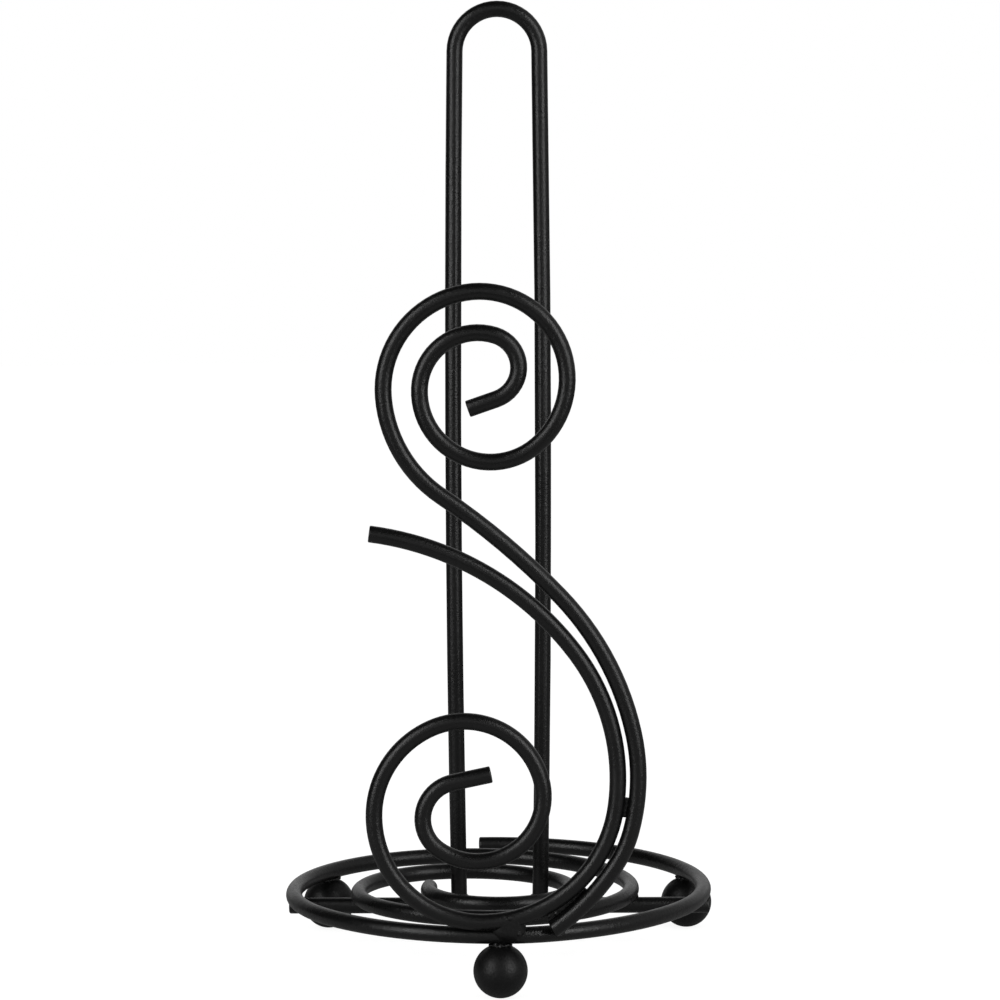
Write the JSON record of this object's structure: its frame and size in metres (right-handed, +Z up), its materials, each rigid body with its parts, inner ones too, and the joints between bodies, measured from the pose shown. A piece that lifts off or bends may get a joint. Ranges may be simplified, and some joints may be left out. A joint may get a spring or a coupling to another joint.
{
  "type": "paper towel holder",
  "caption": "Free-standing wire stand for a paper towel roll: flat coil base on ball feet, tall hairpin post and a pair of decorative scrolls in front.",
  "frame": {"origin": "on the counter, straight under the middle of the post", "axes": "+Z up along the post, -Y towards the front where the scrolls stand, +X to the right seen from the front"},
  "size_m": [0.1622, 0.175, 0.355],
  "materials": {
    "wire": "black satin powder coat with a fine texture on round steel wire",
    "feet": "the same black satin powder coat on steel balls",
    "weld": "weld beads under the same black powder coat"
  },
  "bodies": {
    "root": {"base_coil": "wire", "cross_bar": "wire", "upright_loop": "wire", "low_scroll": "wire", "tall_scroll": "wire", "front_foot": "feet", "rear_right_foot": "feet", "rear_left_foot": "feet", "bar_welds": "weld", "leg_welds": "weld", "foot_welds": "weld", "seat_weld": "weld", "tail_weld": "weld", "tie_weld": "weld"}
  },
  "joints": []
}
